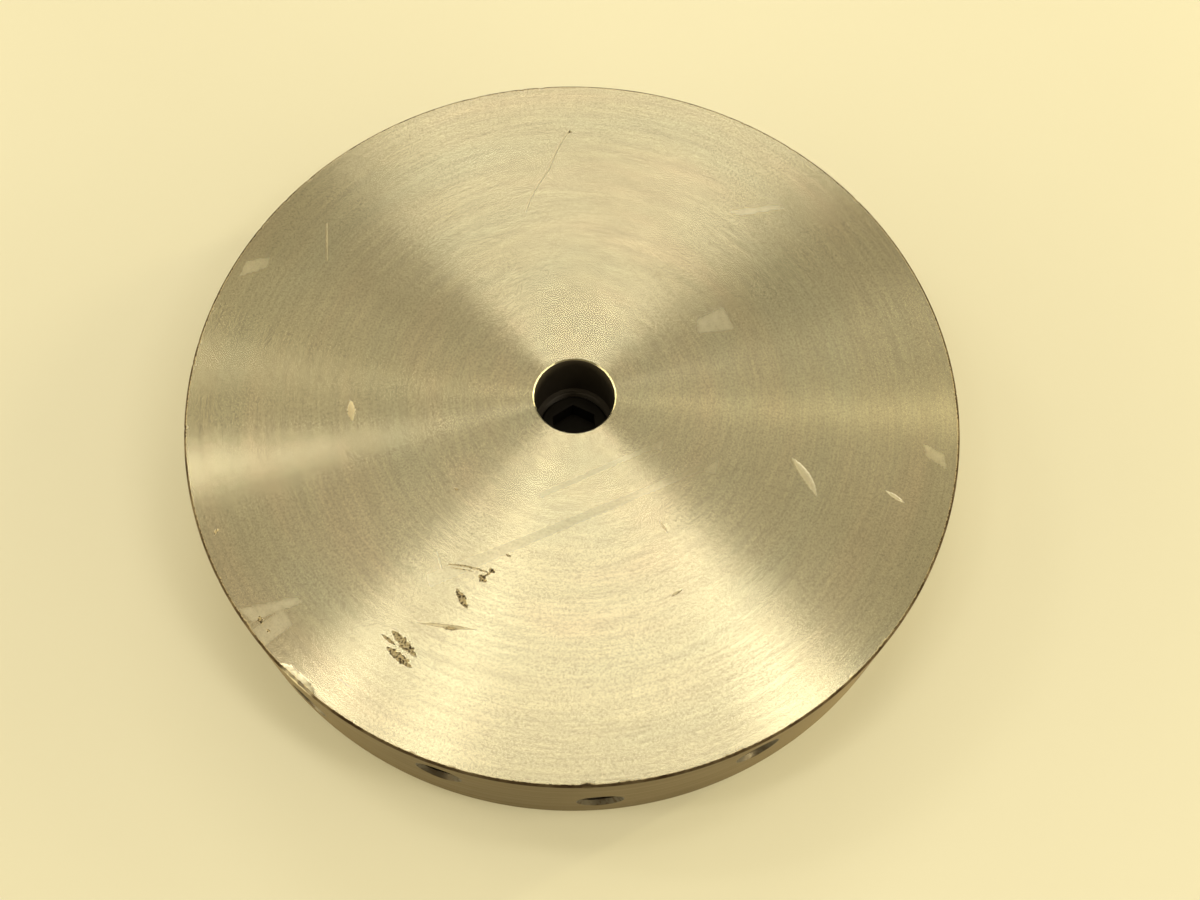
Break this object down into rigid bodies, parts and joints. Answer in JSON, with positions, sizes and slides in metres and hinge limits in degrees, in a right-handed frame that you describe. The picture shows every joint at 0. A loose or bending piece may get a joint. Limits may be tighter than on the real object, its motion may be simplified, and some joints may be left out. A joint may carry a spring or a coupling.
{
  "type": "blind flange",
  "caption": "Thick turned steel disc that closes a pipe end: plugged centre bore, staggered tapped holes round the rim with recessed set screws, seal ring in the underside.",
  "frame": {"origin": "centre of the underside, the face the disc lies on", "axes": "+Z along the disc's axis towards the open end of the centre bore; -Y out through a rim hole of the lower row"},
  "size_m": [0.3, 0.3, 0.051],
  "materials": {
    "turned_steel": "faced and turned, concentric tool marks, light handling wear",
    "blackened_steel": "black oxide, oiled",
    "copper": "soft copper sealing ring, dull",
    "black_rubber": "moulded nitrile, matt"
  },
  "bodies": {
    "flange": {"flange_disc": "turned_steel", "plug_seal_ring": "copper", "face_seal_ring": "black_rubber"},
    "centre_plug": {"centre_plug": "blackened_steel"},
    "rim_screw_01": {"rim_screw_01": "blackened_steel"},
    "rim_screw_02": {"rim_screw_02": "blackened_steel"},
    "rim_screw_03": {"rim_screw_03": "blackened_steel"},
    "rim_screw_04": {"rim_screw_04": "blackened_steel"},
    "rim_screw_05": {"rim_screw_05": "blackened_steel"},
    "rim_screw_06": {"rim_screw_06": "blackened_steel"},
    "rim_screw_07": {"rim_screw_07": "blackened_steel"},
    "rim_screw_08": {"rim_screw_08": "blackened_steel"},
    "rim_screw_09": {"rim_screw_09": "blackened_steel"},
    "rim_screw_10": {"rim_screw_10": "blackened_steel"},
    "rim_screw_11": {"rim_screw_11": "blackened_steel"},
    "rim_screw_12": {"rim_screw_12": "blackened_steel"},
    "rim_screw_13": {"rim_screw_13": "blackened_steel"},
    "rim_screw_14": {"rim_screw_14": "blackened_steel"},
    "rim_screw_15": {"rim_screw_15": "blackened_steel"},
    "rim_screw_16": {"rim_screw_16": "blackened_steel"}
  },
  "joints": [
    {"name": "centre_plug_travel", "type": "slide", "parent": "flange", "child": "centre_plug", "axis": [0, 0, 1], "range_m": [0, 0.045]},
    {"name": "rim_screw_01_travel", "type": "slide", "parent": "flange", "child": "rim_screw_01", "axis": [0, -1, 0], "range_m": [0, 0.012]},
    {"name": "rim_screw_02_travel", "type": "slide", "parent": "flange", "child": "rim_screw_02", "axis": [0.3827, -0.9239, 0], "range_m": [0, 0.012]},
    {"name": "rim_screw_03_travel", "type": "slide", "parent": "flange", "child": "rim_screw_03", "axis": [0.7071, -0.7071, 0], "range_m": [0, 0.012]},
    {"name": "rim_screw_04_travel", "type": "slide", "parent": "flange", "child": "rim_screw_04", "axis": [0.9239, -0.3827, 0], "range_m": [0, 0.012]},
    {"name": "rim_screw_05_travel", "type": "slide", "parent": "flange", "child": "rim_screw_05", "axis": [1, 0, 0], "range_m": [0, 0.012]},
    {"name": "rim_screw_06_travel", "type": "slide", "parent": "flange", "child": "rim_screw_06", "axis": [0.9239, 0.3827, 0], "range_m": [0, 0.012]},
    {"name": "rim_screw_07_travel", "type": "slide", "parent": "flange", "child": "rim_screw_07", "axis": [0.7071, 0.7071, 0], "range_m": [0, 0.012]},
    {"name": "rim_screw_08_travel", "type": "slide", "parent": "flange", "child": "rim_screw_08", "axis": [0.3827, 0.9239, 0], "range_m": [0, 0.012]},
    {"name": "rim_screw_09_travel", "type": "slide", "parent": "flange", "child": "rim_screw_09", "axis": [0, 1, 0], "range_m": [0, 0.012]},
    {"name": "rim_screw_10_travel", "type": "slide", "parent": "flange", "child": "rim_screw_10", "axis": [-0.3827, 0.9239, 0], "range_m": [0, 0.012]},
    {"name": "rim_screw_11_travel", "type": "slide", "parent": "flange", "child": "rim_screw_11", "axis": [-0.7071, 0.7071, 0], "range_m": [0, 0.012]},
    {"name": "rim_screw_12_travel", "type": "slide", "parent": "flange", "child": "rim_screw_12", "axis": [-0.9239, 0.3827, 0], "range_m": [0, 0.012]},
    {"name": "rim_screw_13_travel", "type": "slide", "parent": "flange", "child": "rim_screw_13", "axis": [-1, 0, 0], "range_m": [0, 0.012]},
    {"name": "rim_screw_14_travel", "type": "slide", "parent": "flange", "child": "rim_screw_14", "axis": [-0.9239, -0.3827, 0], "range_m": [0, 0.012]},
    {"name": "rim_screw_15_travel", "type": "slide", "parent": "flange", "child": "rim_screw_15", "axis": [-0.7071, -0.7071, 0], "range_m": [0, 0.012]},
    {"name": "rim_screw_16_travel", "type": "slide", "parent": "flange", "child": "rim_screw_16", "axis": [-0.3827, -0.9239, 0], "range_m": [0, 0.012]}
  ]
}
